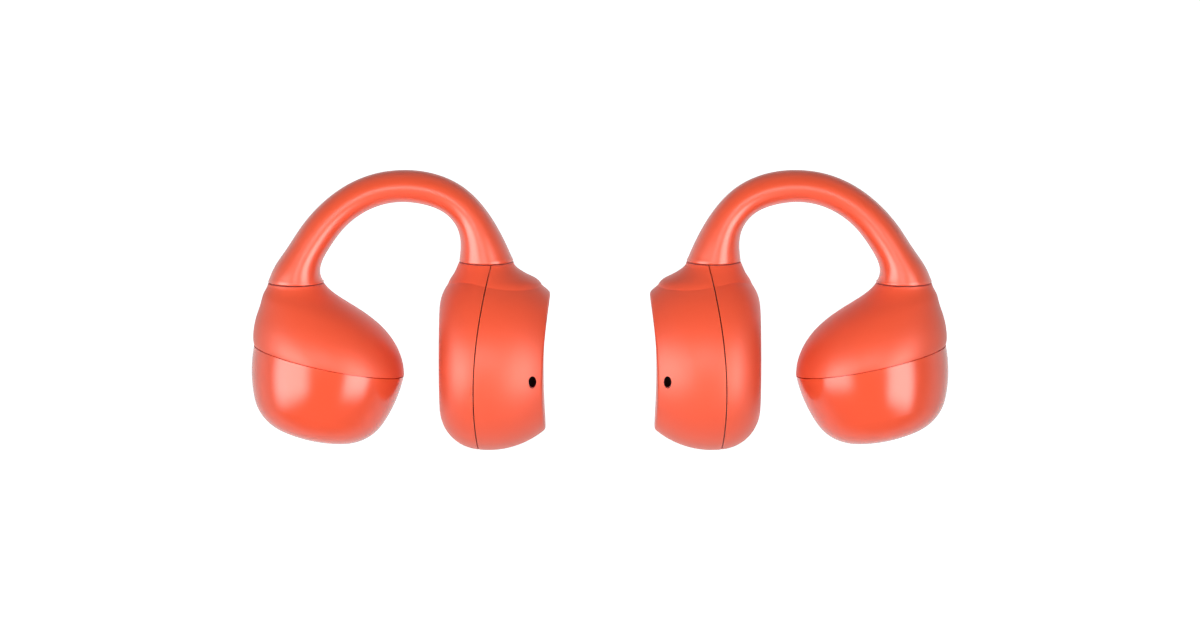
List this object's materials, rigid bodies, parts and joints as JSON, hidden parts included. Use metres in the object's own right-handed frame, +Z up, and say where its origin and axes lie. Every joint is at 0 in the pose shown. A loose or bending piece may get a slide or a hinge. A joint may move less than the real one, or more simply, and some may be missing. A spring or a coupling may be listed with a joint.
{
  "type": "clip-on bone conduction earphones",
  "caption": "Pair of clip-on open-ear bone conduction earphones, each with an exciter ball, a springy C bridge and a round battery pod that grip the edge of the ear.",
  "frame": {"origin": "midway between the two earphones, level with the lowest points of the pods", "axes": "+X across the pair from the left earphone to the right one, +Y from the front to the back, +Z up"},
  "size_m": [0.067, 0.0176, 0.027],
  "materials": {
    "matt_shell": "fine matt moulded ABS, coral orange",
    "gloss_shell": "polished ABS, coral orange",
    "soft_sleeve": "satin silicone rubber, coral orange",
    "seal_rubber": "matt black rubber",
    "nylon": "matt glass-filled nylon",
    "spring_steel": "bright nickel-plated steel",
    "magnet": "nickel-plated magnet",
    "copper": "enamelled copper",
    "board": "green solder resist",
    "chip": "black moulded package",
    "ceramic": "fired ceramic",
    "dark_mesh": "blackened steel mesh",
    "gold": "gold-plated copper"
  },
  "bodies": {
    "left_pod": {"left_bridge_sleeve": "soft_sleeve", "left_memory_wire": "spring_steel", "left_bridge_leads": "copper", "left_pod_ear_shell": "matt_shell", "left_pod_head_shell": "matt_shell", "left_pod_seal": "seal_rubber", "left_pod_anchor": "nylon", "left_battery_can": "spring_steel", "left_battery_cap": "spring_steel", "left_battery_tabs": "spring_steel", "left_main_board": "board", "left_bluetooth_chip": "chip", "left_board_parts": "ceramic", "left_antenna": "ceramic", "left_microphone": "chip", "left_mic_mesh": "dark_mesh", "left_touch_sensor": "copper", "left_docking_magnet": "magnet", "left_charging_contacts": "gold"},
    "left_ball": {"left_ball_upper_shell": "matt_shell", "left_ball_lower_shell": "gloss_shell", "left_ball_seal": "seal_rubber", "left_ball_anchor": "nylon", "left_exciter_frame": "nylon", "left_exciter_leaf_spring": "spring_steel", "left_exciter_voice_coil": "copper", "left_exciter_drive_plate": "nylon"},
    "left_exciter_mass": {"left_exciter_yoke": "spring_steel", "left_exciter_magnet": "magnet", "left_exciter_pole_plate": "spring_steel"},
    "right_pod": {"right_bridge_sleeve": "soft_sleeve", "right_memory_wire": "spring_steel", "right_bridge_leads": "copper", "right_pod_ear_shell": "matt_shell", "right_pod_head_shell": "matt_shell", "right_pod_seal": "seal_rubber", "right_pod_anchor": "nylon", "right_battery_can": "spring_steel", "right_battery_cap": "spring_steel", "right_battery_tabs": "spring_steel", "right_main_board": "board", "right_bluetooth_chip": "chip", "right_board_parts": "ceramic", "right_antenna": "ceramic", "right_microphone": "chip", "right_mic_mesh": "dark_mesh", "right_touch_sensor": "copper", "right_docking_magnet": "magnet", "right_charging_contacts": "gold"},
    "right_ball": {"right_ball_upper_shell": "matt_shell", "right_ball_lower_shell": "gloss_shell", "right_ball_seal": "seal_rubber", "right_ball_anchor": "nylon", "right_exciter_frame": "nylon", "right_exciter_leaf_spring": "spring_steel", "right_exciter_voice_coil": "copper", "right_exciter_drive_plate": "nylon"},
    "right_exciter_mass": {"right_exciter_yoke": "spring_steel", "right_exciter_magnet": "magnet", "right_exciter_pole_plate": "spring_steel"}
  },
  "joints": [
    {"name": "left_clip_flex", "type": "hinge", "parent": "left_pod", "child": "left_ball", "pos_m": [-0.0188, 0, 0.02548], "axis": [0, 1, 0], "range_deg": [-5, 15], "stiffness_Nm_per_rad": 0.036, "deforming": ["left_bridge_sleeve", "left_memory_wire", "left_bridge_leads"]},
    {"name": "left_exciter_travel", "type": "slide", "parent": "left_ball", "child": "left_exciter_mass", "axis": [0.2045, 0, 0.9789], "range_m": [-0.0002, 0.0002], "stiffness_N_per_m": 1000, "deforming": ["left_exciter_leaf_spring"]},
    {"name": "right_clip_flex", "type": "hinge", "parent": "right_pod", "child": "right_ball", "pos_m": [0.0188, 0, 0.02548], "axis": [0, -1, 0], "range_deg": [-5, 15], "stiffness_Nm_per_rad": 0.036, "deforming": ["right_bridge_sleeve", "right_memory_wire", "right_bridge_leads"]},
    {"name": "right_exciter_travel", "type": "slide", "parent": "right_ball", "child": "right_exciter_mass", "axis": [-0.2045, 0, 0.9789], "range_m": [-0.0002, 0.0002], "stiffness_N_per_m": 1000, "deforming": ["right_exciter_leaf_spring"]},
    {"name": "ear_spacing", "type": "slide", "parent": "left_pod", "child": "right_pod", "axis": [1, 0, 0], "range_m": [0, 0.03]}
  ]
}
